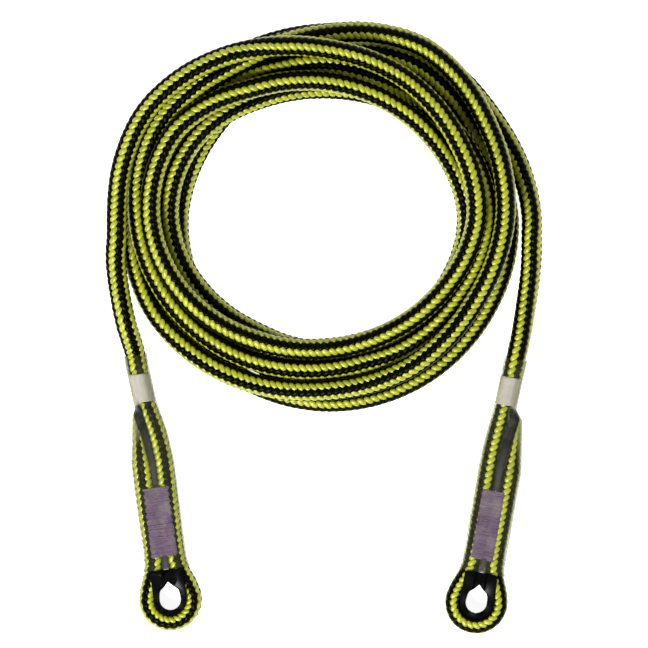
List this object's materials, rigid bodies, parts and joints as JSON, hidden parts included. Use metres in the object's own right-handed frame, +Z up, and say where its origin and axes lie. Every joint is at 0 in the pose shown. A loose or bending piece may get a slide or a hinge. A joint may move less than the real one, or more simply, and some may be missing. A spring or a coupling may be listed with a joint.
{
  "type": "dynamic climbing rope",
  "caption": "Braided kernmantle rope laid in a loose round coil, each end sewn into an eye round a plastic thimble under a clear heat-shrink sleeve.",
  "frame": {"origin": "middle of the footprint, on the surface that the rope lies on", "axes": "+Z up, +Y from the two sewn eyes towards the coil, +X towards the right eye"},
  "size_m": [0.2615, 0.3663, 0.0463],
  "materials": {
    "sheath": "sixteen-plait polyester yarn, lime yellow and black",
    "black_yarn": "black polyester yarn of the sheath",
    "core": "undyed polyamide core strands",
    "sealed_end": "melted yarn end, semi-gloss",
    "thimble": "moulded black polyamide, satin",
    "thread": "lilac sewing thread, slight sheen",
    "label": "off-white printed band, left bare",
    "sleeve": "clear heat-shrink tube, slightly hazy"
  },
  "bodies": {
    "root": {"coil_sheath": "sheath", "coil_core": "core", "left_leg_sheath": "sheath", "left_leg_core": "core", "right_leg_sheath": "sheath", "right_leg_core": "core", "left_eye_sheath": "sheath", "left_eye_core": "core", "right_eye_sheath": "sheath", "right_eye_core": "core", "left_tail_end": "sealed_end", "right_tail_end": "sealed_end", "left_thimble": "thimble", "right_thimble": "thimble", "left_stitching": "thread", "right_stitching": "thread", "left_label": "label", "right_label": "label", "left_sleeve": "sleeve", "right_sleeve": "sleeve"}
  },
  "joints": []
}
